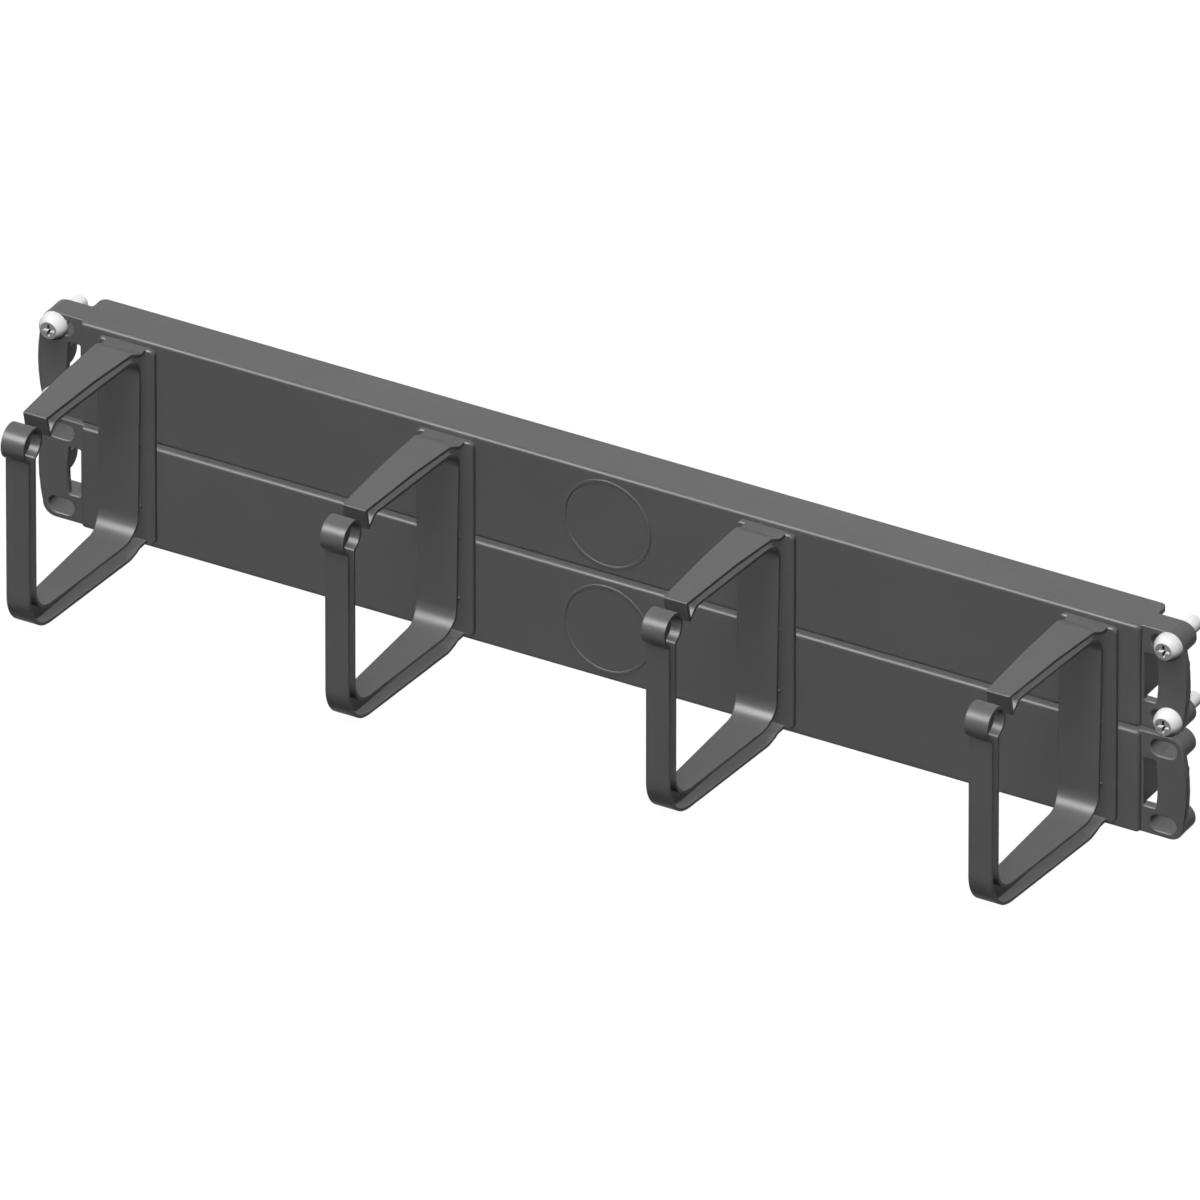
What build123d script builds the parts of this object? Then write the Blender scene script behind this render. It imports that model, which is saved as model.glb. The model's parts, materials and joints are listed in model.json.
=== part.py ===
from build123d import *
import os

os.makedirs("parts", exist_ok=True)

# All lengths are millimetres. X runs along the rack's width, Y into the rack and Z up.
# The origin lies midway between the four rack screws, on the plane where the lugs meet the rails.

# Rack standard: spans between hole centres, and the gap from one unit's last hole to the next one's first
rack_hole_span_x = 465.1
rack_hole_span_z = 31.75
rack_hole_gap_z = 12.7

# Blank panel: a shallow tray, open at the back, with a lug at each corner
panel_end_setback = 11.55
panel_gap = 1.75
tray_depth = 19.2
front_wall = 2.4
tray_wall = 2.0
front_end_r = 1.5
front_edge_r = 1.4
flange_step = 1.2
flange_corner_r = 2.6
flange_root_r = 0.9

# Ears at the panel's ends
ear_setback = 2.0
ear_thick = 2.4
ear_margin = 7.45
ear_bow = 1.725
ear_edge_r = 0.5
ear_edge_bevel = 0.35
lug_depth = 10.0
lug_length = 5.0
lug_inset = 0.1
slot_length = 10.9
slot_width = 6.5
slot_clearance = 0.15
window_inset = 1.0
window_width = 5.0
window_bow = 0.7
window_height = 20.0
window_corner_r = 0.7
end_wall_margin = 10.85

# Locating peg behind each ear
peg_inset = 3.0
peg_width = 4.5
peg_top = 4.1
peg_bottom = -3.0
peg_reach = 9.4
peg_edge_r = 0.8
peg_nose_r = 5.0

# Plain raised ring in the middle of each panel
medallion_r = 17.8
medallion_line = 1.2
medallion_height = 0.5

# Ribs and screw pads inside the tray
rib_offset = 14.0
rib_thick = 1.6
rib_height = 5.0
pad_r = 4.2
pad_height = 1.0

# Cable rings: places, base plate and I-shaped band
ring_count = 4
ring_inset = 20.45
base_width = 23.8
base_inset = 2.575
base_thick = 2.0
base_corner_r = 2.0
base_edge_bevel = 0.5
bevel_angle = 45
band_flange = 1.2
band_web = 1.5
band_width_front = 9.6
band_width_back = 15.2
root_width = 16.6
taper_start = 12.0

# Side outline of the band: distances forward of the panels, and rises and drops from the plate's two ends
reach = 81.3
front_bar_depth = 5.4
back_bar_forward_high = 6.1
back_bar_forward_low = 8.3
root_forward = 5.4
foot_forward = 7.0
crest_forward = 10.5
crest_rise = 2.4
brow_forward = 35.0
brow_rise = 3.95
nose_rise = 4.3
nose_lean = 2.2
nose_tip_width = 1.0
nose_length = 4.8
nose_drop = 4.0
entry_gap = 4.95
arm_thick_front = 5.0
arm_thick_back = 4.3
heel_forward = 12.0
heel_drop = 2.5
toe_drop = 0.6
lower_thick_front = 8.0
lower_thick_back = 8.4
outer_corner_r = 16.0
inner_corner_r = 10.5
lower_back_r = 8.5
upper_back_r = 7.0
root_r = 2.5
nose_r = 0.45
nose_back_r = 4.0
heel_r = 4.0
brow_r = 150.0

# Open barrel at the top of the front bar
barrel_setback = 3.2
barrel_drop = 2.3
barrel_r = 6.85

# Small gussets in the channel behind the ring's back bar
gusset_pitch = 25.8
gusset_count = 3
gusset_half_width = 6.5
gusset_thick = 1.1

# Screws that hold each ring, driven from inside the tray
ring_screw_offset = 11.0
ring_screw_shank_r = 1.45
ring_screw_head_r = 2.8
ring_screw_head_height = 2.1
ring_screw_crown_r = 2.0
ring_screw_crown = 0.7
ring_screw_grip = 4.1
ring_screw_tip = 0.8
screw_boss_r = 3.0
pilot_clearance = 0.05
pilot_extra_depth = 0.4
panel_hole_r = 1.7

# Rack screws: a plain neck through the lug, then the threaded length at its full radius
rack_screw_shank_r = 3.0
rack_screw_neck_r = 2.65
rack_screw_neck_past = 0.3
rack_screw_length = 20.0
rack_screw_head_r = 5.5
rack_screw_head_height = 4.9
rack_screw_disc_r = 3.5
rack_screw_rim = 0.7
rack_screw_dome_r = 4.97
rack_screw_dome_height = 3.1
rack_screw_tip = 1.0
cross_length = 5.0
cross_width = 1.1
cross_depth = 1.9
ring_cross_length = 2.8
ring_cross_width = 0.7
ring_cross_depth = 0.9

# Small allowances: how far cuts run past a face, and how near an edge has to be to a plane it is picked by
past = 1.0
touch = 0.01

# Planes and centres that everything is placed from
unit_pitch = rack_hole_span_z + rack_hole_gap_z
ear_front_y = -lug_depth
front_y = ear_front_y - ear_setback
tray_floor_y = front_y + front_wall
ear_back_y = ear_front_y + ear_thick
rim_y = front_y + tray_depth
pad_y = tray_floor_y + pad_height
seam_z = -unit_pitch / 2
panel_width = rack_hole_span_x - 2 * panel_end_setback
panel_height = unit_pitch - panel_gap
half_height = panel_height / 2
inner_half_height = half_height - tray_wall
end_wall_half_height = half_height - end_wall_margin
lug_z = rack_hole_span_z / 2
lug_r = half_height - lug_z

# Places across the rack, from the middle outwards
flange_end_x = panel_width / 2 + flange_step
window_inner_x = panel_width / 2 + window_inset
window_outer_x = window_inner_x + window_width
peg_middle_x = window_outer_x + peg_inset + peg_width / 2
slot_centre_x = rack_hole_span_x / 2 + rack_screw_shank_r + slot_clearance - slot_length / 2
ear_end_x = rack_hole_span_x / 2 + ear_margin
lug_end_x = ear_end_x - ear_bow - lug_r
lug_middle_x = lug_end_x - lug_length / 2
ring_pitch = (panel_width - 2 * ring_inset) / (ring_count - 1)
ring_centres = [(number - (ring_count - 1) / 2) * ring_pitch for number in range(ring_count)]

# Points of the ring's outline, as distances forward of the panels and heights above the seam
base_height = unit_pitch + panel_height - 2 * base_inset
plate_top = base_height / 2
crest_z = plate_top + crest_rise
brow_z = plate_top + brow_rise
nose_top_z = plate_top + nose_rise
under_z_front = nose_top_z - arm_thick_front
under_z_back = crest_z - arm_thick_back
nose_tip_z = under_z_front - nose_drop
lower_bottom_z_front = -plate_top - toe_drop
lower_bottom_z_back = -plate_top - heel_drop
lower_top_z_front = lower_bottom_z_front + lower_thick_front
lower_top_z_back = lower_bottom_z_back + lower_thick_back
barrel_z = plate_top - barrel_drop
barrel_forward = reach - barrel_setback
nose_tip_forward = barrel_forward - barrel_r - entry_gap
nose_top_forward = nose_tip_forward + nose_lean
nose_start_forward = nose_tip_forward - nose_length
ring_screw_heights = [side * unit_pitch / 2 + offset
                      for side in (1, -1) for offset in (ring_screw_offset, -ring_screw_offset)]


def facing_front(y, z=0.0, x=0.0):
    """A sketch plane seen from the front: local x along X, local y up, extruding forward."""
    return Plane(origin=(x, y, z), x_dir=(1, 0, 0), z_dir=(0, -1, 0))


def seen_from_side(x, y, z):
    """A sketch plane for side outlines: local x runs forward and local y up."""
    return Plane(origin=(x, y, z), x_dir=(0, -1, 0), z_dir=(-1, 0, 0))


def back_bar_face(z):
    """How far forward the back bar's inner face stands at a height above the seam."""
    lean = (back_bar_forward_low - back_bar_forward_high) / (under_z_back - lower_top_z_back)
    return back_bar_forward_high + (under_z_back - z) * lean


def on_slot(x, z):
    """True for an edge of a slot, from its centre's distances to the panel's middle."""
    return abs(abs(z) - lug_z) <= slot_width / 2 + touch


def on_window(x, z):
    """True for an edge of an ear's window."""
    return abs(z) <= window_height / 2 + touch and x <= window_outer_x + window_bow + touch


def on_ear_outline(x, z):
    """True for an edge of the ear's outer outline."""
    return not on_slot(x, z) and not on_window(x, z)


# Two blank panels, one above the other
for panel_name, panel_z in (("panel_upper", 0.0), ("panel_lower", -unit_pitch)):
    with BuildPart() as panel:
        # Plan outline: front face, step back to the ears, lugs and the deeper tray between them
        with BuildSketch(Plane.XY.offset(panel_z - half_height)):
            with BuildLine():
                FilletPolyline(
                    (0, front_y),
                    (panel_width / 2, front_y),
                    (panel_width / 2, ear_front_y),
                    (ear_end_x + past, ear_front_y),
                    (ear_end_x + past, 0),
                    (flange_end_x, 0),
                    (flange_end_x, rim_y),
                    (0, rim_y),
                    radius=(front_end_r, 0, 0, 0, flange_root_r, flange_corner_r),
                )
                mirror(about=Plane.YZ)
            make_face()
        extrude(amount=panel_height)
        front_edges = (
            panel.edges()
            .filter_by_position(Axis.Y, front_y - touch, ear_front_y - touch)
            .filter_by(Axis.Z, reverse=True)
        )
        fillet(front_edges, front_edge_r)

        # Front outline: rounded lug corners with a bowed arm between them
        with BuildSketch(facing_front(front_y - past, panel_z)):
            with BuildLine():
                Line((0, half_height), (lug_end_x, half_height))
                RadiusArc((lug_end_x, half_height), (lug_end_x + lug_r, lug_z), lug_r)
                ThreePointArc(
                    (lug_end_x + lug_r, lug_z),
                    (ear_end_x, 0),
                    (lug_end_x + lug_r, -lug_z),
                )
                RadiusArc((lug_end_x + lug_r, -lug_z), (lug_end_x, -half_height), lug_r)
                Line((lug_end_x, -half_height), (0, -half_height))
                mirror(about=Plane.YZ)
            make_face()
        extrude(amount=-(tray_depth + 2 * past), mode=Mode.INTERSECT)

        # Hollow of the tray, open at the back
        with BuildSketch(facing_front(tray_floor_y, panel_z)):
            Rectangle(panel_width - 2 * tray_wall, 2 * inner_half_height)
        extrude(amount=-(tray_depth + past), mode=Mode.SUBTRACT)

        # Space behind the ears, round the lug bosses, and the open corners beside the end walls
        ear_room = ear_end_x + past - panel_width / 2
        end_room = ear_end_x + past - lug_end_x
        with BuildSketch(facing_front(ear_back_y, panel_z)):
            for side in (1, -1):
                with Locations((side * (panel_width / 2 + ear_room / 2), 0)):
                    Rectangle(ear_room, 2 * inner_half_height)
                with Locations((side * (lug_end_x + end_room / 2), 0)):
                    Rectangle(end_room, 2 * (half_height + past))
                for level in (1, -1):
                    corner_height = inner_half_height - end_wall_half_height
                    corner_z = inner_half_height - corner_height / 2
                    with Locations((side * panel_width / 2, level * corner_z)):
                        Rectangle(2 * tray_wall + past, corner_height)
                    with Locations((side * lug_middle_x, level * lug_z)):
                        SlotCenterToCenter(lug_length, 2 * (lug_r - lug_inset), mode=Mode.SUBTRACT)
        extrude(amount=-(tray_depth + past), mode=Mode.SUBTRACT)

        # Ribs and screw pads on the tray's floor
        with BuildSketch(facing_front(tray_floor_y, panel_z)):
            for ring_x in ring_centres:
                with Locations((ring_x - rib_offset, 0), (ring_x + rib_offset, 0)):
                    Rectangle(rib_thick, 2 * inner_half_height)
        extrude(amount=-rib_height)
        with BuildSketch(facing_front(tray_floor_y, panel_z)):
            for ring_x in ring_centres:
                with Locations((ring_x, ring_screw_offset), (ring_x, -ring_screw_offset)):
                    Circle(pad_r)
        extrude(amount=-pad_height)

        # Locating pegs behind the ears, with a rounded lower nose
        for side in (1, -1):
            with BuildSketch(seen_from_side(side * peg_middle_x, ear_back_y, panel_z)):
                with BuildLine():
                    FilletPolyline(
                        (past, peg_top),
                        (-peg_reach, peg_top),
                        (-peg_reach, peg_bottom),
                        (past, peg_bottom),
                        (past, peg_top),
                        radius=(0, peg_edge_r, peg_nose_r, 0),
                    )
                make_face()
            extrude(amount=peg_width / 2, both=True)

        # Plain raised ring on the front
        with BuildSketch(facing_front(front_y, panel_z)):
            Circle(medallion_r + medallion_line / 2)
            Circle(medallion_r - medallion_line / 2, mode=Mode.SUBTRACT)
        extrude(amount=medallion_height)

        # Slots for rack screws, with the long way across the rack
        with BuildSketch(facing_front(front_y - past, panel_z)):
            for side in (1, -1):
                with Locations((side * slot_centre_x, lug_z), (side * slot_centre_x, -lug_z)):
                    SlotOverall(slot_length, slot_width)
        extrude(amount=-(tray_depth + 2 * past), mode=Mode.SUBTRACT)

        # Window through each ear, its outer side slightly bowed
        with BuildSketch(facing_front(ear_front_y - past, panel_z)):
            with BuildLine():
                Polyline(
                    (window_outer_x, window_height / 2),
                    (window_inner_x, window_height / 2),
                    (window_inner_x, -window_height / 2),
                    (window_outer_x, -window_height / 2),
                )
                ThreePointArc(
                    (window_outer_x, -window_height / 2),
                    (window_outer_x + window_bow, 0),
                    (window_outer_x, window_height / 2),
                )
            make_face()
            fillet(vertices(), window_corner_r)
            mirror(about=Plane.YZ)
        extrude(amount=-(ear_thick + 2 * past), mode=Mode.SUBTRACT)

        # Clearance holes for the ring screws
        with BuildSketch(facing_front(front_y - past, panel_z)):
            for ring_x in ring_centres:
                with Locations((ring_x, ring_screw_offset), (ring_x, -ring_screw_offset)):
                    Circle(panel_hole_r)
        extrude(amount=-(front_wall + pad_height + 2 * past), mode=Mode.SUBTRACT)

        # Soft edges on the ears' front: the outline rounded, the slots and windows bevelled
        for is_chosen, soften, edge_size in (
            (on_ear_outline, fillet, ear_edge_r),
            (on_slot, chamfer, ear_edge_bevel),
            (on_window, chamfer, ear_edge_bevel),
        ):
            ear_edges = (
                panel.edges()
                .filter_by_position(Axis.Y, ear_front_y - touch, ear_front_y + touch)
                .filter_by(lambda edge: abs(edge.center().X) > panel_width / 2)
                .filter_by(lambda edge: is_chosen(abs(edge.center().X), edge.center().Z - panel_z))
            )
            soften(ear_edges, edge_size)
    panel.part.label = panel_name
    export_step(panel.part, f"parts/{panel_name}.step")

# Cable rings: a base plate with an I-shaped band that runs out, down and back to it
for ring_number, ring_x in enumerate(ring_centres, start=1):
    ring_side = seen_from_side(ring_x, front_y, seam_z)
    ring_front = facing_front(front_y, seam_z, ring_x)
    band_start = base_thick - band_flange
    with BuildPart() as ring:
        # Side outline of the band, from the plate's foot round the window to the hook's nose
        with BuildSketch(ring_side) as band:
            with BuildLine():
                FilletPolyline(
                    (band_start, -base_height / 2),
                    (foot_forward, -base_height / 2),
                    (heel_forward, lower_bottom_z_back),
                    (reach, lower_bottom_z_front),
                    (reach, barrel_z),
                    (reach - front_bar_depth, barrel_z),
                    (reach - front_bar_depth, lower_top_z_front),
                    (back_bar_forward_low, lower_top_z_back),
                    (back_bar_forward_high, under_z_back),
                    (nose_start_forward, under_z_front),
                    (nose_tip_forward - nose_tip_width, nose_tip_z),
                    (nose_tip_forward, nose_tip_z),
                    (nose_top_forward, nose_top_z),
                    (brow_forward, brow_z),
                    (crest_forward, crest_z),
                    (root_forward, base_height / 2),
                    (band_start, base_height / 2),
                    (band_start, -base_height / 2),
                    radius=(
                        0, heel_r, heel_r, outer_corner_r, 0, 0, inner_corner_r, lower_back_r,
                        upper_back_r, nose_back_r, nose_r, nose_r, nose_r, brow_r, root_r, root_r, 0,
                    ),
                )
            make_face()
            with Locations((barrel_forward, barrel_z)):
                Circle(barrel_r)
        extrude(amount=base_width / 2, both=True)

        # Plan taper: wide where the band meets the plate, narrow at the front bar
        with BuildSketch(Plane(origin=(ring_x, front_y, seam_z - base_height), x_dir=(1, 0, 0), z_dir=(0, 0, 1))):
            with BuildLine():
                Polyline(
                    (0, 0),
                    (root_width / 2, 0),
                    (root_width / 2, -back_bar_forward_low),
                    (band_width_back / 2, -taper_start),
                    (band_width_front / 2, -nose_top_forward),
                    (band_width_front / 2, -(barrel_forward + barrel_r + past)),
                    (0, -(barrel_forward + barrel_r + past)),
                )
                mirror(about=Plane.YZ)
            make_face()
        extrude(amount=2 * base_height, mode=Mode.INTERSECT)

        # Channel in both sides, which leaves a web between two flanges
        with BuildSketch(ring_side) as channel:
            add(band.sketch_local)
            offset(amount=-band_flange)
        for side in (1, -1):
            with BuildSketch(ring_side.offset(side * band_web / 2)):
                add(channel.sketch_local)
            extrude(amount=side * base_width, mode=Mode.SUBTRACT)

        # Base plate across the seam of the two panels, its front edge bevelled all round
        with BuildSketch(ring_front) as plate:
            RectangleRounded(base_width, base_height, base_corner_r)
        extrude(amount=base_thick - base_edge_bevel)
        with BuildSketch(ring_front.offset(base_thick - base_edge_bevel)):
            add(plate.sketch_local)
        extrude(amount=base_edge_bevel, taper=bevel_angle)

        # Gussets between the plate and the back bar's inner flange
        for number in range(gusset_count):
            gusset_z = (number - (gusset_count - 1) / 2) * gusset_pitch
            gusset_reach = back_bar_face(gusset_z) - band_flange / 2
            with BuildSketch(ring_front):
                with Locations((0, gusset_z)):
                    Rectangle(2 * gusset_half_width, gusset_thick)
            extrude(amount=gusset_reach)

        # Bosses with blind pilot holes for the screws that hold the ring
        for screw_z in ring_screw_heights:
            with BuildSketch(ring_front):
                with Locations((0, screw_z)):
                    Circle(screw_boss_r)
            extrude(amount=back_bar_face(screw_z) - band_flange / 2)
        with BuildSketch(ring_front):
            for screw_z in ring_screw_heights:
                with Locations((0, screw_z)):
                    Circle(ring_screw_shank_r + pilot_clearance)
        extrude(amount=ring_screw_grip + pilot_extra_depth, mode=Mode.SUBTRACT)
    ring.part.label = f"cable_ring_{ring_number}"
    export_step(ring.part, f"parts/cable_ring_{ring_number}.step")

# Ring screws: pan heads on the pads inside the trays, shanks forward into the ring's bosses
for ring_number, ring_x in enumerate(ring_centres, start=1):
    for screw_number, screw_z in enumerate(ring_screw_heights, start=1):
        screw_plane = Plane(origin=(ring_x, pad_y, seam_z + screw_z), x_dir=(1, 0, 0), z_dir=(0, 0, 1))
        shank_length = pad_y - front_y + ring_screw_grip
        with BuildPart() as ring_screw:
            with BuildSketch(screw_plane):
                with BuildLine():
                    Polyline(
                        (0, ring_screw_head_height),
                        (ring_screw_crown_r, ring_screw_head_height),
                        (ring_screw_head_r, ring_screw_head_height - ring_screw_crown),
                        (ring_screw_head_r, 0),
                        (ring_screw_shank_r, 0),
                        (ring_screw_shank_r, ring_screw_tip - shank_length),
                        (ring_screw_shank_r / 2, -shank_length),
                        (0, -shank_length),
                        (0, ring_screw_head_height),
                    )
                make_face()
            revolve(axis=Axis((ring_x, 0, seam_z + screw_z), (0, 1, 0)))
            with BuildSketch(facing_front(pad_y + ring_screw_head_height, seam_z + screw_z, ring_x)):
                Rectangle(ring_cross_length, ring_cross_width)
                Rectangle(ring_cross_width, ring_cross_length)
            extrude(amount=ring_cross_depth, mode=Mode.SUBTRACT)
        screw_name = f"ring_{ring_number}_screw_{screw_number}"
        ring_screw.part.label = screw_name
        export_step(ring_screw.part, f"parts/{screw_name}.step")

# Rack screws in the upper panel's four slots, domed heads at the front
rack_screw_places = [(side * rack_hole_span_x / 2, level * lug_z) for side in (-1, 1) for level in (1, -1)]
for rack_screw_number, (screw_x, screw_z) in enumerate(rack_screw_places, start=1):
    screw_plane = Plane(origin=(screw_x, ear_front_y, screw_z), x_dir=(1, 0, 0), z_dir=(0, 0, 1))
    neck_end = lug_depth + rack_screw_neck_past
    with BuildPart() as rack_screw:
        with BuildSketch(screw_plane):
            with BuildLine():
                Polyline((0, -rack_screw_head_height), (rack_screw_disc_r, -rack_screw_head_height))
                ThreePointArc(
                    (rack_screw_disc_r, -rack_screw_head_height),
                    (rack_screw_dome_r, -rack_screw_dome_height),
                    (rack_screw_head_r, -rack_screw_rim),
                )
                Polyline(
                    (rack_screw_head_r, -rack_screw_rim),
                    (rack_screw_head_r, 0),
                    (rack_screw_neck_r, 0),
                    (rack_screw_neck_r, neck_end),
                    (rack_screw_shank_r, neck_end),
                    (rack_screw_shank_r, rack_screw_length - rack_screw_tip),
                    (rack_screw_shank_r - rack_screw_tip, rack_screw_length),
                    (0, rack_screw_length),
                    (0, -rack_screw_head_height),
                )
            make_face()
        revolve(axis=Axis((screw_x, 0, screw_z), (0, 1, 0)))
        with BuildSketch(facing_front(ear_front_y - rack_screw_head_height, screw_z, screw_x)):
            Rectangle(cross_length, cross_width)
            Rectangle(cross_width, cross_length)
        extrude(amount=-cross_depth, mode=Mode.SUBTRACT)
    rack_screw.part.label = f"rack_screw_{rack_screw_number}"
    export_step(rack_screw.part, f"parts/rack_screw_{rack_screw_number}.step")
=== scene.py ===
# %% [markdown]
# # A horizontal cable manager for a 19-inch rack
#
# Two moulded panels stand one above the other, and four open rings reach out from them to hold patch
# cables. The shapes come ready made from the CAD model, so this lesson is about the rest of a good
# product picture: a camera that keeps parallel edges all but parallel, a plain studio, and finishes
# that look moulded or plated.

# %% Load the frame
import json
import math

import bpy
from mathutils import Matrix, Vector


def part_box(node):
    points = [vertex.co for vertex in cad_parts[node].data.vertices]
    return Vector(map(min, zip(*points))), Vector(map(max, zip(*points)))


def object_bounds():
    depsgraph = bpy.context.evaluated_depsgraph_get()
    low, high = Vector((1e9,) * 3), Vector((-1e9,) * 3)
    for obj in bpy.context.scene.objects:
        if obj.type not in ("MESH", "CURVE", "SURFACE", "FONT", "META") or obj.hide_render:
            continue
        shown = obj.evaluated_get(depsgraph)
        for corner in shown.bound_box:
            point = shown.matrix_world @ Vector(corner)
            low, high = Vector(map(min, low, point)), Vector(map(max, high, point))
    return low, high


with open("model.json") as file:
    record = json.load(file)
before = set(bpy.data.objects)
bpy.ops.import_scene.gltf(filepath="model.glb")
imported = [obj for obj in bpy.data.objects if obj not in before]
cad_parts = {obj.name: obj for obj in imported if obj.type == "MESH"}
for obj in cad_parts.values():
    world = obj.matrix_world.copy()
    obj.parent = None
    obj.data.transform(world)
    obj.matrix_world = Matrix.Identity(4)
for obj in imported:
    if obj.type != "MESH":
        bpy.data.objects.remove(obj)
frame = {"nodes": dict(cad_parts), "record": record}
cad_low, cad_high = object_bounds()

scene = bpy.context.scene
node_objects = frame["nodes"]
print("CAD nodes:", len(node_objects))
print("CAD box in mm:", [round(1000 * side, 1) for side in cad_high - cad_low])

# %% [markdown]
# ## Reading places from the parts
#
# The camera looks at the seam between the two panels, on the plane where the rings stand on their
# fronts, and the floor lies under the lower panel. These places could be typed in, but then they would
# stay behind when the model changes, so they are read from the parts.

# %% Planes read from the parts
upper_low, upper_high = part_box("panel_upper")
lower_low, lower_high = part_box("panel_lower")
ring_low, ring_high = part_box("cable_ring_1")

seam_z = (upper_low.z + lower_high.z) / 2
panel_front_y = ring_high.y
floor_z = cad_low.z

print("upper and lower panel height in mm:",
      round(1000 * (upper_high.z - upper_low.z), 1), round(1000 * (lower_high.z - lower_low.z), 1))
print("ring depth in mm:", round(1000 * (ring_high.y - ring_low.y), 1))
print("seam height in mm:", round(1000 * seam_z, 2))
print("panel front in mm:", round(1000 * panel_front_y, 2))

# %% [markdown]
# ## The camera
#
# In the picture, edges that are parallel on the product are parallel on paper too, as in a drawing. An
# orthographic camera would give exactly that. A very long lens from far away comes close to it: across
# a product this wide it moves the two ends by about three pixels. It is chosen here because it behaves
# like any other camera when the view moves round the product.

# %% Camera
azimuth = math.radians(29.44)
elevation = math.radians(30.81)
picture_side_px = 1200
pixels_per_metre = 2750
aim_right_px = -7.0
aim_up_px = -23.0

towards_camera = Vector((
    math.sin(azimuth) * math.cos(elevation),
    -math.cos(azimuth) * math.cos(elevation),
    math.sin(elevation),
))
camera_turn = towards_camera.to_track_quat("Z", "Y")
picture_right = camera_turn @ Vector((1, 0, 0))
picture_up = camera_turn @ Vector((0, 1, 0))

seam_middle = Vector((0, panel_front_y, seam_z))
aim = seam_middle + (picture_right * aim_right_px + picture_up * aim_up_px) / pixels_per_metre

lens = bpy.data.cameras.new("long_lens")
lens.lens = 1700
lens.sensor_width = 36
lens.clip_start = 0.1
lens.clip_end = 40
view_width = picture_side_px / pixels_per_metre
camera_distance = view_width * lens.lens / lens.sensor_width

camera = bpy.data.objects.new("camera", lens)
camera.rotation_mode = "QUATERNION"
camera.rotation_quaternion = camera_turn
camera.location = aim + towards_camera * camera_distance
scene.collection.objects.link(camera)
scene.camera = camera
scene.view_settings.view_transform = "Standard"
print("camera distance in m:", round(camera_distance, 2))

# %% [markdown]
# ## Small helpers for node trees
#
# A material is a graph of nodes. It could be wired by hand in the shader editor, but a script can
# repeat and change it. These helpers add a node, set its values and wire it up in one line each, which
# keeps the finishes further down short enough to read as recipes.


# %% Node helpers
def add_node(tree, kind, **settings):
    """Add a node of a kind, with its own properties set by name."""
    node = tree.nodes.new(kind)
    for name, value in settings.items():
        setattr(node, name, value)
    return node


def plug(tree, target, source):
    """Feed a socket from another socket, or set it to a plain value."""
    if isinstance(source, bpy.types.NodeSocket):
        tree.links.new(source, target)
    else:
        target.default_value = source


print("node helpers ready")


# %% Value helpers
def calculate(tree, operation, *values):
    """Add a Math node on the given sockets or numbers and return its result."""
    node = add_node(tree, "ShaderNodeMath", operation=operation)
    for socket, value in zip(node.inputs, values):
        plug(tree, socket, value)
    return node.outputs["Value"]


def remap(tree, value, from_range, to_range=(0.0, 1.0)):
    """Stretch a value from one range to another, clamped at both ends."""
    node = add_node(tree, "ShaderNodeMapRange")
    plug(tree, node.inputs["Value"], value)
    for name, limit in zip(("From Min", "From Max", "To Min", "To Max"), (*from_range, *to_range)):
        node.inputs[name].default_value = limit
    return node.outputs["Result"]


def noise(tree, vector, scale, detail, roughness=0.5):
    """Add a noise texture and return its value."""
    node = add_node(tree, "ShaderNodeTexNoise")
    plug(tree, node.inputs["Vector"], vector)
    plug(tree, node.inputs["Scale"], scale)
    node.inputs["Detail"].default_value = detail
    node.inputs["Roughness"].default_value = roughness
    return node.outputs["Fac"]


def upward_part(tree, normal):
    """How far a normal points up: 1 on a top, 0 on a wall and -1 on an underside."""
    parts = add_node(tree, "ShaderNodeSeparateXYZ")
    plug(tree, parts.inputs["Vector"], normal)
    return parts.outputs["Z"]


print("value helpers ready")

# %% [markdown]
# ## Mixing colours
#
# The Mix node has a pair of sockets for each kind of data, and the pairs share the names A and B. The
# colour pair can therefore only be told apart by its place in the list, so the places get names here.

# %% Colour helpers
FIRST_COLOUR = 6
SECOND_COLOUR = 7
MIXED_COLOUR = 2


def blend_colours(tree, factor, first, second):
    """Mix two colours, plain or from a socket."""
    node = add_node(tree, "ShaderNodeMix", data_type="RGBA")
    plug(tree, node.inputs["Factor"], factor)
    plug(tree, node.inputs[FIRST_COLOUR], first)
    plug(tree, node.inputs[SECOND_COLOUR], second)
    return node.outputs[MIXED_COLOUR]


def grey(level):
    """A neutral grey, from black at 0 to white at 1."""
    return (level, level, level, 1)


print("colour helpers ready")

# %% [markdown]
# ## Node groups shared by the finishes
#
# A node group is a recipe that several materials use with their own values. Copying the nodes into each
# material would work too, but a change would then have to be made in every copy. Three effects repeat
# here: the fine texture of a mould, the softened edges that every real part has, and the thin dust that
# lies on what faces up. Each group gives only masks, heights and normals.

# %% Group helper
FLOAT = "NodeSocketFloat"
VECTOR = "NodeSocketVector"


def new_group(name, inputs, outputs):
    """Make a shader node group with named sockets; inputs are (name, kind, default)."""
    group = bpy.data.node_groups.new(name, "ShaderNodeTree")
    for socket_name, kind, default in inputs:
        socket = group.interface.new_socket(socket_name, in_out="INPUT", socket_type=kind)
        if default is not None:
            socket.default_value = default
    for socket_name, kind in outputs:
        group.interface.new_socket(socket_name, in_out="OUTPUT", socket_type=kind)
    start = group.nodes.new("NodeGroupInput")
    end = group.nodes.new("NodeGroupOutput")
    return group, start, end


print("group helper ready")

# %% [markdown]
# ## Moulded grain
#
# The steel of a mould is eroded so that the plastic comes out matt, with pits and ridges too fine to
# model. A single noise would look regular, so a fine and a coarse one are added. A third, far wider
# noise lets the gloss drift from place to place, as it does on any large moulding.


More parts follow.
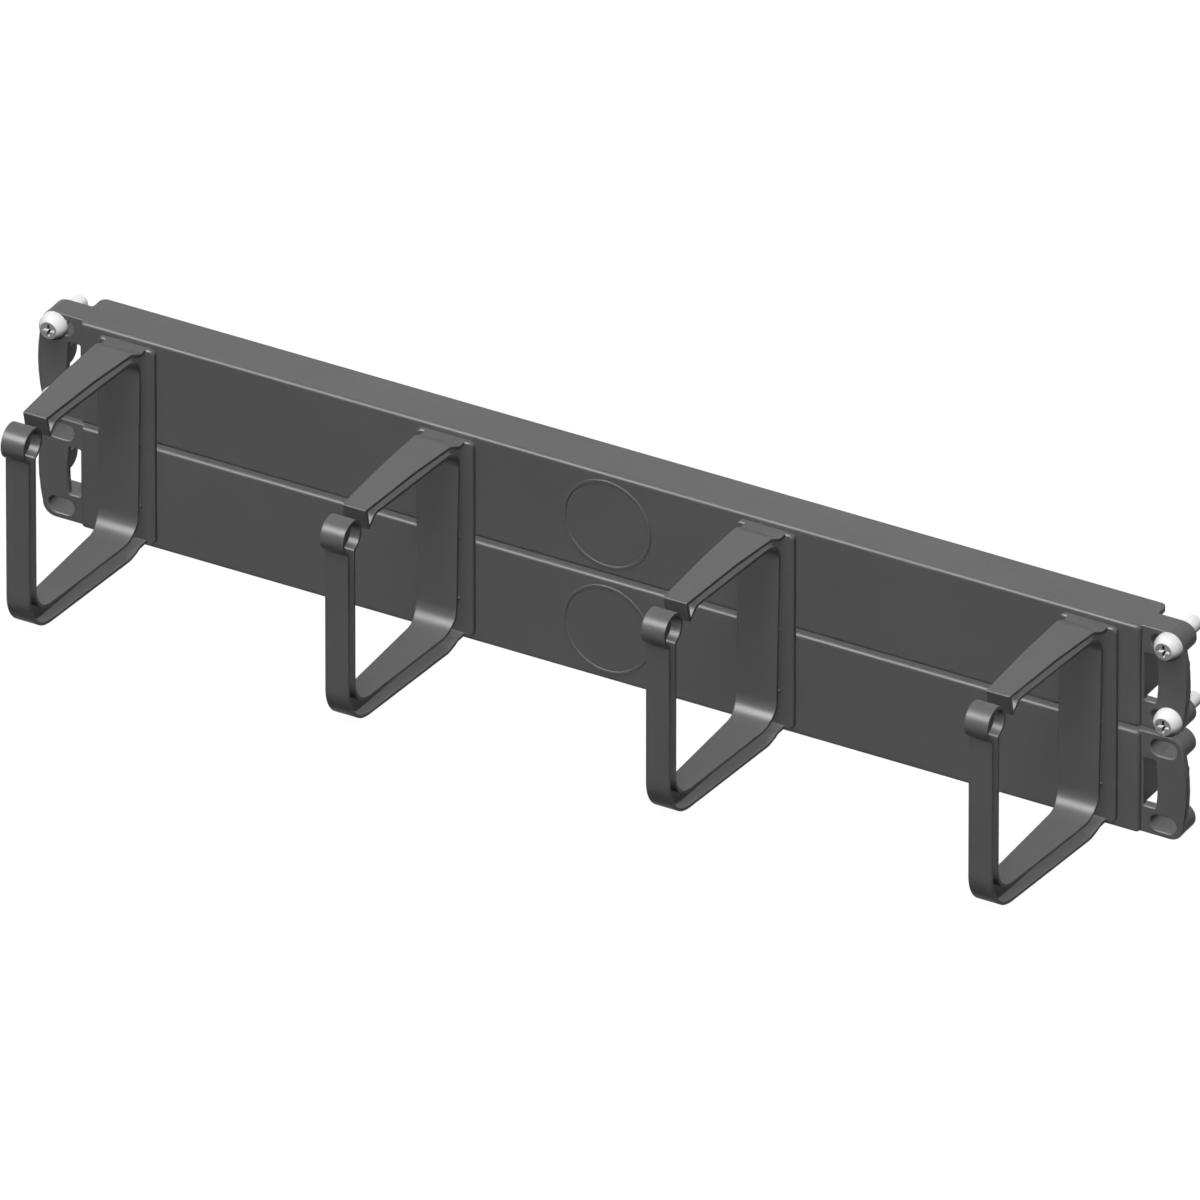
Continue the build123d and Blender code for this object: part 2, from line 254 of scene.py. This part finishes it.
# %% Moulded grain
def make_moulded_grain():
    """Pits and ridges of an eroded mould, with a slow drift that varies the gloss."""
    group, start, end = new_group(
        "moulded_grain",
        [("Vector", VECTOR, None), ("Grains per Metre", FLOAT, 3000.0), ("Drift per Metre", FLOAT, 25.0)],
        [("Height", FLOAT), ("Drift", FLOAT)],
    )
    coarse_per_fine = 0.35
    fine_share = 0.65
    coarse_share = 0.35
    drift_noise_range = (0.3, 0.7)

    vector = start.outputs["Vector"]
    grains = start.outputs["Grains per Metre"]
    fine = noise(group, vector, grains, detail=3.0, roughness=0.6)
    coarse = noise(group, vector, calculate(group, "MULTIPLY", grains, coarse_per_fine), detail=1.0)
    height = calculate(group, "ADD", calculate(group, "MULTIPLY", fine, fine_share),
                       calculate(group, "MULTIPLY", coarse, coarse_share))
    drift = noise(group, vector, start.outputs["Drift per Metre"], detail=4.0)
    plug(group, end.inputs["Height"], height)
    plug(group, end.inputs["Drift"], remap(group, drift, drift_noise_range))
    return group


moulded_grain = make_moulded_grain()
print("group:", moulded_grain.name)

# %% [markdown]
# ## Softened edges
#
# No moulded or plated edge is a knife edge: it is rolled over by a fraction of a millimetre, and
# handling rubs it paler. Real bevels on every edge would cost many faces, so the Bevel node only turns
# the normals near the edges. Where the rolled normal leaves the face's own normal there is an edge, and
# that makes the mask. The paleness is partly rubbed wear and partly a painted highlight: edges that face
# down are left out, as no pale line shows along them.


# %% Softened edges
def make_soft_edges():
    """A mask of rubbed edges, partly a painted highlight on edges that face up, and a normal that rolls
    round every edge.
    """
    group, start, end = new_group(
        "soft_edges",
        [("Vector", VECTOR, None), ("Patches per Metre", FLOAT, 90.0)],
        [("Edge", FLOAT), ("Normal", VECTOR)],
    )
    edge_radius = 0.00035
    turned_range = (0.01, 0.2)
    slope_range = (-0.2, 0.1)
    patch_noise_range = (0.35, 0.6)
    wear_and_highlight_range = (0.35, 1.0)

    rolled = add_node(group, "ShaderNodeBevel", samples=6)
    rolled.inputs["Radius"].default_value = edge_radius
    surface = add_node(group, "ShaderNodeNewGeometry")
    likeness = add_node(group, "ShaderNodeVectorMath", operation="DOT_PRODUCT")
    plug(group, likeness.inputs[0], rolled.outputs["Normal"])
    plug(group, likeness.inputs[1], surface.outputs["Normal"])
    turned = calculate(group, "SUBTRACT", 1.0, likeness.outputs["Value"])
    patches = noise(group, start.outputs["Vector"], start.outputs["Patches per Metre"], detail=5.0)
    # Painted highlight: only edges that face up get paler, as under a light from above; the noise patches
    # are the rubbed wear.
    not_below = remap(group, upward_part(group, rolled.outputs["Normal"]), slope_range)
    patchy_wear_and_highlight = calculate(group, "MULTIPLY", not_below, remap(group, patches, patch_noise_range, wear_and_highlight_range))
    edge_wear_and_highlight = calculate(group, "MULTIPLY", remap(group, turned, turned_range), patchy_wear_and_highlight)
    plug(group, end.inputs["Edge"], edge_wear_and_highlight)
    plug(group, end.inputs["Normal"], rolled.outputs["Normal"])
    return group


soft_edges = make_soft_edges()
print("group:", soft_edges.name)

# %% [markdown]
# ## Settled dust
#
# A little dust lies on whatever faces up. It could be a second layer of mesh, but it has no thickness
# that the eye would see, so a mask is enough: the surface's normal says what faces up, and a noise
# breaks it into soft patches.


# %% Settled dust
def make_settled_dust():
    """A thin film on what faces up, broken into soft patches."""
    group, start, end = new_group(
        "settled_dust",
        [("Vector", VECTOR, None), ("Patches per Metre", FLOAT, 40.0)],
        [("Dust", FLOAT)],
    )
    slope_range = (0.5, 1.0)
    patch_noise_range = (0.35, 0.75)
    cover_range = (0.2, 1.0)

    surface = add_node(group, "ShaderNodeNewGeometry")
    facing_up = remap(group, upward_part(group, surface.outputs["Normal"]), slope_range)
    patches = noise(
        group, start.outputs["Vector"], start.outputs["Patches per Metre"], detail=6.0, roughness=0.65)
    film = calculate(group, "MULTIPLY", facing_up, remap(group, patches, patch_noise_range, cover_range))
    plug(group, end.inputs["Dust"], film)
    return group


settled_dust = make_settled_dust()
print("group:", settled_dust.name)

# %% [markdown]
# ## Starting a material
#
# Each finish begins in the same way: a new material, its main shader, and coordinates that stay fixed
# to the piece. A group is then placed with the values that suit this finish. A Bump node turns a height
# into a tilt of the normals, which is enough for grain that is too fine to cast a shadow.


# %% Material helpers
def new_material(name):
    """Make a node material and return it with its tree, its surface shader and object coordinates."""
    material = bpy.data.materials.new(name)
    material.use_nodes = True
    tree = material.node_tree
    shader = tree.nodes["Principled BSDF"]
    place = add_node(tree, "ShaderNodeTexCoord")
    return material, tree, shader, place.outputs["Object"]


def use_group(tree, group, vector, **values):
    """Place a node group on a material and set its own values by name."""
    node = add_node(tree, "ShaderNodeGroup", node_tree=group)
    plug(tree, node.inputs["Vector"], vector)
    for name, value in values.items():
        plug(tree, node.inputs[name.replace("_", " ")], value)
    return node


def bump(tree, height, strength, distance, normal):
    """Raise a surface by a height, on top of another normal."""
    node = add_node(tree, "ShaderNodeBump")
    node.inputs["Strength"].default_value = strength
    node.inputs["Distance"].default_value = distance
    plug(tree, node.inputs["Height"], height)
    plug(tree, node.inputs["Normal"], normal)
    return node.outputs["Normal"]


print("material helpers ready")

# %% [markdown]
# ## Charcoal plastic for the panels and the rings
#
# The panels and the rings are moulded from the same family of dark grey plastic. It could be one flat
# colour, but a real moulding never is: the grain breaks up the gloss, edges polish lighter with
# handling and carry a painted highlight where they face up, and a little dust dulls the tops. One
# function makes both finishes, and the two get their own colour, grain and roughness. The shader's
# specular level is low, so that the white surroundings don't lift the dark faces.


# %% Charcoal plastic
def make_moulded_plastic(name, colour, edge_colour, grains_per_metre, base_roughness):
    """Dark moulded plastic with grain, softened edges that are pale from wear and painted highlight, and a
    trace of dust.
    """
    drift_tint = 1.08
    edge_share = 0.3
    dust_share = 0.025
    dust_colour = (0.32, 0.31, 0.29, 1)
    smoother_by = 0.04
    rougher_by = 0.05
    dust_roughness = 0.08
    grain_strength = 0.35
    grain_height = 0.00006

    material, tree, shader, vector = new_material(name)
    grain = use_group(tree, moulded_grain, vector, Grains_per_Metre=grains_per_metre, Drift_per_Metre=25.0)
    edges = use_group(tree, soft_edges, vector, Patches_per_Metre=90.0)
    dust = use_group(tree, settled_dust, vector, Patches_per_Metre=40.0)

    tinted_colour = [drift_tint * part for part in colour[:3]] + [1]
    drifted = blend_colours(tree, grain.outputs["Drift"], colour, tinted_colour)
    # The pale edge colour is partly rubbed wear and partly a painted highlight.
    edged = blend_colours(
        tree, calculate(tree, "MULTIPLY", edges.outputs["Edge"], edge_share), drifted, edge_colour)
    dusty = blend_colours(
        tree, calculate(tree, "MULTIPLY", dust.outputs["Dust"], dust_share), edged, dust_colour)
    plug(tree, shader.inputs["Base Color"], dusty)

    roughness_range = (base_roughness - smoother_by, base_roughness + rougher_by)
    drifting_roughness = remap(tree, grain.outputs["Drift"], (0.0, 1.0), roughness_range)
    added_by_dust = calculate(tree, "MULTIPLY", dust.outputs["Dust"], dust_roughness)
    plug(tree, shader.inputs["Roughness"], calculate(tree, "ADD", drifting_roughness, added_by_dust))
    shader.inputs["Specular IOR Level"].default_value = 0.03
    plug(tree, shader.inputs["Normal"],
         bump(tree, grain.outputs["Height"], grain_strength, grain_height, edges.outputs["Normal"]))
    return material


rubbed_and_highlit_plastic_colour = (0.15, 0.15, 0.152, 1)
panel_plastic = make_moulded_plastic(
    "panel_plastic",
    colour=(0.090, 0.090, 0.091, 1),
    edge_colour=rubbed_and_highlit_plastic_colour,
    grains_per_metre=3200.0,
    base_roughness=0.40,
)
ring_plastic = make_moulded_plastic(
    "ring_plastic",
    colour=(0.087, 0.087, 0.088, 1),
    edge_colour=rubbed_and_highlit_plastic_colour,
    grains_per_metre=4200.0,
    base_roughness=0.38,
)
print("materials:", panel_plastic.name, ring_plastic.name)

# %% [markdown]
# ## Marks on the rack screws
#
# Each rack screw has a domed head with a flat pressed disc on top and a cross-shaped recess in it, and
# gets fine turned rings about its axis. The underside of the dome and the walls of the cross look nearly
# black, so painted shade darkens them. These could be painted on an image, but nearly all follows from two
# lengths: how far a point is from the screw's axis, and how far along it. Absolute values fold the four
# screws onto one, so that a single sum serves them all.


# %% Marks on the rack screws
def distance_from_axes(tree, vector, across, height):
    """How far a point is from four axes along Y, at plus and minus across and height, and its Y."""
    parts = add_node(tree, "ShaderNodeSeparateXYZ")
    plug(tree, parts.inputs["Vector"], vector)
    squares = []
    for side, axis_place in (("X", across), ("Z", height)):
        offset = calculate(tree, "SUBTRACT", calculate(tree, "ABSOLUTE", parts.outputs[side]), axis_place)
        squares.append(calculate(tree, "POWER", offset, 2.0))
    return calculate(tree, "SQRT", calculate(tree, "ADD", *squares)), parts.outputs["Y"]


def rack_screw_marks(tree, vector):
    """Masks of the pressed disc and of the painted shade, and the height of the turned rings."""
    disc_radius = 0.0034
    disc_depth = 0.0004
    cross_depth = 0.003
    unshaded_slope = 0.4
    underside_range = (0.1, -0.5)
    underside_shade_range = (0.0, 0.9)
    ring_pitch = 0.00022

    screw_low, screw_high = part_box("rack_screw_4")
    screw_middle = (screw_low + screw_high) / 2
    disc_back = screw_low.y + disc_depth
    from_axis, along = distance_from_axes(tree, vector, abs(screw_middle.x), abs(screw_middle.z))

    in_middle = calculate(tree, "LESS_THAN", from_axis, disc_radius)
    on_disc = calculate(tree, "MULTIPLY", in_middle, calculate(tree, "LESS_THAN", along, disc_back))
    in_cross = calculate(tree, "MULTIPLY", calculate(tree, "SUBTRACT", in_middle, on_disc),
                         calculate(tree, "LESS_THAN", along, disc_back + cross_depth))

    surface = add_node(tree, "ShaderNodeNewGeometry")
    upward = upward_part(tree, surface.outputs["Normal"])
    # Painted shade: walls of the cross that don't face up, and the dome where it faces down, are darkened
    # in the colour.
    painted_shade_in_cross = calculate(tree, "MULTIPLY", in_cross, calculate(tree, "LESS_THAN", upward, unshaded_slope))
    painted_shade_below = calculate(tree, "MULTIPLY", remap(tree, upward, underside_range, underside_shade_range),
                           calculate(tree, "SUBTRACT", 1.0, on_disc))
    painted_shade_mask = calculate(tree, "MAXIMUM", painted_shade_in_cross, painted_shade_below)
    rings = calculate(tree, "SINE", calculate(tree, "MULTIPLY", from_axis, 2 * math.pi / ring_pitch))
    return on_disc, painted_shade_mask, rings


print("rack screw marks ready")

# %% [markdown]
# ## Zinc plate for the screws
#
# The rack screws are steel with a pale, chalky zinc plate. A metallic shader is the usual choice for
# plated steel, but this plate scatters light more like a paint than a mirror, so it gets no metallic
# value and the dome shades softly from light to dark. The disc is duller than the dome. The small
# screws behind the panels get a plainer, greyer plate, which is metallic.


# %% Zinc plate of the rack screws
def make_rack_screw_steel():
    """Bright zinc plate with turned rings, a duller pressed disc and painted shade below and in the cross.
    """
    plate_colour = grey(0.58)
    bright_plate_colour = (0.62, 0.62, 0.61, 1)
    disc_colour = (0.24, 0.24, 0.245, 1)
    painted_shade_colour = grey(0.03)
    roughness_range = (0.40, 0.46)
    ring_strength = 0.12
    ring_height = 0.00003

    material, tree, shader, vector = new_material("rack_screw_steel")
    edges = use_group(tree, soft_edges, vector, Patches_per_Metre=90.0)
    grain = use_group(tree, moulded_grain, vector, Grains_per_Metre=2500.0, Drift_per_Metre=120.0)
    on_disc, painted_shade_mask, rings = rack_screw_marks(tree, vector)

    plate = blend_colours(tree, grain.outputs["Drift"], plate_colour, bright_plate_colour)
    pressed = blend_colours(tree, on_disc, plate, disc_colour)
    # Painted shade darkens the underside of the dome and the walls of the cross.
    plug(tree, shader.inputs["Base Color"], blend_colours(tree, painted_shade_mask, pressed, painted_shade_colour))
    shader.inputs["Specular IOR Level"].default_value = 0.05
    plug(tree, shader.inputs["Roughness"],
         remap(tree, grain.outputs["Drift"], (0.0, 1.0), roughness_range))
    plug(tree, shader.inputs["Normal"],
         bump(tree, rings, ring_strength, ring_height, edges.outputs["Normal"]))
    return material


rack_screw_steel = make_rack_screw_steel()
print("material:", rack_screw_steel.name)


# %% Zinc plate of the small screws
def make_small_screw_steel():
    """A greyer zinc plate with a slightly mottled face."""
    dark_plate_colour = (0.55, 0.55, 0.56, 1)
    pale_plate_colour = (0.66, 0.66, 0.65, 1)
    roughness_range = (0.28, 0.42)
    grain_strength = 0.15
    grain_height = 0.00003

    material, tree, shader, vector = new_material("small_screw_steel")
    edges = use_group(tree, soft_edges, vector, Patches_per_Metre=90.0)
    grain = use_group(tree, moulded_grain, vector, Grains_per_Metre=3000.0, Drift_per_Metre=500.0)
    plug(tree, shader.inputs["Base Color"],
         blend_colours(tree, grain.outputs["Drift"], dark_plate_colour, pale_plate_colour))
    shader.inputs["Metallic"].default_value = 1.0
    plug(tree, shader.inputs["Roughness"],
         remap(tree, grain.outputs["Drift"], (0.0, 1.0), roughness_range))
    plug(tree, shader.inputs["Normal"],
         bump(tree, grain.outputs["Height"], grain_strength, grain_height, edges.outputs["Normal"]))
    return material


small_screw_steel = make_small_screw_steel()
print("material:", small_screw_steel.name)

# %% [markdown]
# ## Dressing the parts
#
# Twenty-six parts wear four finishes. They could be dressed one by one, but the record already says
# which material slot each part takes its finish from, so the finishes are handed out by slot.

# %% Hand out the finishes
finishes = {
    "panel_plastic": panel_plastic,
    "ring_plastic": ring_plastic,
    "rack_screw_steel": rack_screw_steel,
    "small_screw_steel": small_screw_steel,
}
for subpart in frame["record"]["subparts"]:
    dressed = node_objects[subpart["node"]]
    for material_slot in dressed.material_slots:
        material_slot.material = finishes[subpart["material_slot"]]

# %% [markdown]
# ## The background
#
# A catalogue picture has a white background, but a white world would also light the product from all
# sides and wash it out. The Light Path node tells the two apart: what the camera, a mirror or glass
# sees is white, and what only lights the product is a dim grey.


# %% Background
def seen_directly(tree):
    """One where a ray comes from the camera, a mirror or glass, and nought for light that bounces."""
    path = add_node(tree, "ShaderNodeLightPath")
    seen = calculate(tree, "MAXIMUM", path.outputs["Is Camera Ray"], path.outputs["Is Glossy Ray"])
    return calculate(tree, "MAXIMUM", seen, path.outputs["Is Transmission Ray"])


def make_background():
    """White where it is seen, dim grey where it lights the product."""
    unseen_colour = grey(0.04)
    seen_colour = grey(1.0)

    world = bpy.data.worlds.new("studio")
    world.use_nodes = True
    tree = world.node_tree
    sky = tree.nodes["Background"]
    plug(tree, sky.inputs["Color"], blend_colours(tree, seen_directly(tree), unseen_colour, seen_colour))
    sky.inputs["Strength"].default_value = 1.0
    return world


scene.world = make_background()
print("world:", scene.world.name)

# %% [markdown]
# ## The floor
#
# The product stands on a pale sheet that runs out of sight. Plain white paper would turn grey under
# soft lamps, and a sheet that only glows would lose the shadow. So the two are mixed where the sheet is
# seen: the glow brings it near white, and the paper keeps a soft shadow under the product.


# %% Floor
def make_floor():
    """A pale sheet under the product that shows nearly white and keeps the shadow."""
    half_side = 3.0
    glow_share = 0.86
    unseen_paper_colour = grey(0.09)
    seen_paper_colour = grey(0.82)

    mesh = bpy.data.meshes.new("floor")
    corners = [
        (-half_side, -half_side, 0),
        (half_side, -half_side, 0),
        (half_side, half_side, 0),
        (-half_side, half_side, 0),
    ]
    mesh.from_pydata(corners, [], [(0, 1, 2, 3)])
    floor = bpy.data.objects.new("floor", mesh)
    floor.location = (0, 0, floor_z)
    scene.collection.objects.link(floor)

    material = bpy.data.materials.new("floor_paper")
    material.use_nodes = True
    tree = material.node_tree
    tree.nodes.remove(tree.nodes["Principled BSDF"])
    paper = add_node(tree, "ShaderNodeBsdfDiffuse")
    plug(tree, paper.inputs["Color"],
         blend_colours(tree, seen_directly(tree), unseen_paper_colour, seen_paper_colour))
    glow = add_node(tree, "ShaderNodeEmission")
    mixed = add_node(tree, "ShaderNodeMixShader")
    mix_share, mix_first, mix_second = mixed.inputs
    plug(tree, mix_share, calculate(tree, "MULTIPLY", seen_directly(tree), glow_share))
    plug(tree, mix_first, paper.outputs["BSDF"])
    plug(tree, mix_second, glow.outputs["Emission"])
    plug(tree, tree.nodes["Material Output"].inputs["Surface"], mixed.outputs["Shader"])
    mesh.materials.append(material)
    return floor


make_floor()
print("floor height in mm:", round(1000 * floor_z, 1))

# %% [markdown]
# ## Light
#
# Area lamps would fall off across a product this wide. Sun lamps shine evenly on all of it, and a wide
# angle makes their shadows soft. Nearly all the light comes from high in front and a little from the
# right, which makes the tops the palest faces and the right-hand ends the darkest. Most of it casts no
# shadow, as the light of a tent round a product does, so the deep channels of the rings stay open to
# the eye.
#
# Two more lamps finish the job. A glint lamp shines only in reflections: it stands where a rounded
# front edge mirrors it to the camera, and so it draws the pale lines that make such edges readable. A
# back lamp keeps the sides that the camera doesn't see from going black when the view moves round.


# %% Lamp helper
def add_lamp(name, towards_light, strength, softness,
             casts_shadow=True, lights_faces=True, makes_glints=True):
    """Add a sun lamp that shines from a direction; softness is the angle of its disc in degrees."""
    sun = bpy.data.lights.new(name, "SUN")
    sun.energy = strength
    sun.angle = math.radians(softness)
    sun.use_shadow = casts_shadow
    lamp = bpy.data.objects.new(name, sun)
    lamp.visible_diffuse = lights_faces
    lamp.visible_glossy = makes_glints
    lamp.rotation_mode = "QUATERNION"
    lamp.rotation_quaternion = Vector(towards_light).to_track_quat("Z", "Y")
    scene.collection.objects.link(lamp)


print("lamp helper ready")

# %% Lamps
light_side = (0.12, -0.44, 0.89)
add_lamp("key_lamp", light_side, strength=0.4, softness=40)
add_lamp("tent_lamp", light_side, strength=4.4, softness=25, casts_shadow=False)

# The camera's direction, mirrored about the normal of a rounded front edge, is where the glint comes from.
bright_edge_normal = Vector((0, -0.74, 0.67)).normalized()
glint_side = 2 * bright_edge_normal.dot(towards_camera) * bright_edge_normal - towards_camera
add_lamp("glint_lamp", glint_side, strength=58.0, softness=30, casts_shadow=False, lights_faces=False)

back_side = (-0.65, 0.75, 0.12)
add_lamp("back_lamp", back_side, strength=1.6, softness=30, casts_shadow=False, makes_glints=False)
